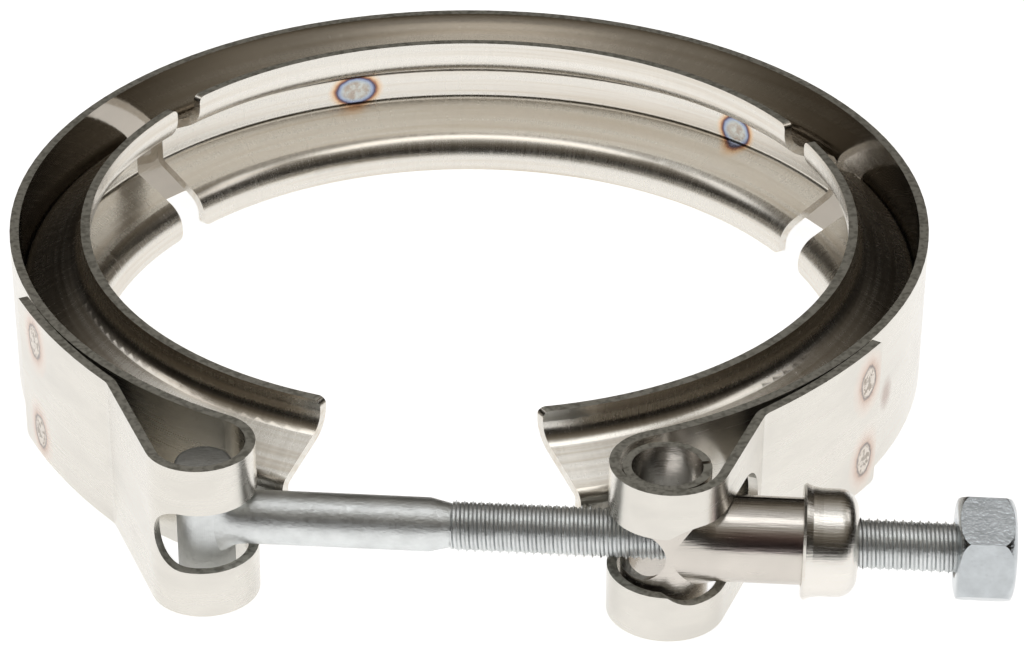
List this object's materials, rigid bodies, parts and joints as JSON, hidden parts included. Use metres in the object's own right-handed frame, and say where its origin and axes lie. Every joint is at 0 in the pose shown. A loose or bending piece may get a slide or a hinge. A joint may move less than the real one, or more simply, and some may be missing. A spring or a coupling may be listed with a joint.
{
  "type": "V-band clamp",
  "caption": "Round V-band clamp: folded steel strap with welded V segments, closed by a T-bolt through a hinged trunnion with collar and nut.",
  "frame": {"origin": "on the ring's axis at the middle of the strap's width", "axes": "+Z along the ring's axis, up in the picture; +X along the bolt towards the nut; the bolt runs at -Y in front of the ring"},
  "size_m": [0.1627, 0.1605, 0.0265],
  "materials": {
    "strap_steel": "rolled, satin, darkened inside",
    "segment_steel": "cold-rolled, glossy to satin",
    "bolt_steel": "zinc plated, satin, bluish",
    "trunnion_steel": "formed stainless, glossy",
    "collar_steel": "drawn steel, brushed along the bolt",
    "nut_steel": "turned and plated steel, bright"
  },
  "bodies": {
    "clamp": {"band": "strap_steel", "segment_left": "segment_steel", "segment_back": "segment_steel", "segment_right": "segment_steel"},
    "swivel": {"trunnion": "trunnion_steel"},
    "bolt": {"t_bolt": "bolt_steel"},
    "nut_body": {"nut": "nut_steel"},
    "collar_body": {"collar": "collar_steel"}
  },
  "joints": [
    {"name": "trunnion_turn", "type": "hinge", "parent": "clamp", "child": "swivel", "pos_m": [0.03527, -0.0755, 0], "axis": [0, 0, 1], "range_deg": [0, 1]},
    {"name": "bolt_slide", "type": "slide", "parent": "swivel", "child": "bolt", "axis": [1, 0, 0], "range_m": [-0.0008, 0.0008]},
    {"name": "nut_spin", "type": "hinge", "parent": "bolt", "child": "nut_body", "pos_m": [0.08235, -0.0755, 0], "axis": [1, 0, 0], "continuous": true},
    {"name": "collar_slide", "type": "slide", "parent": "swivel", "child": "collar_body", "axis": [1, 0, 0], "range_m": [0, 0.01]}
  ]
}
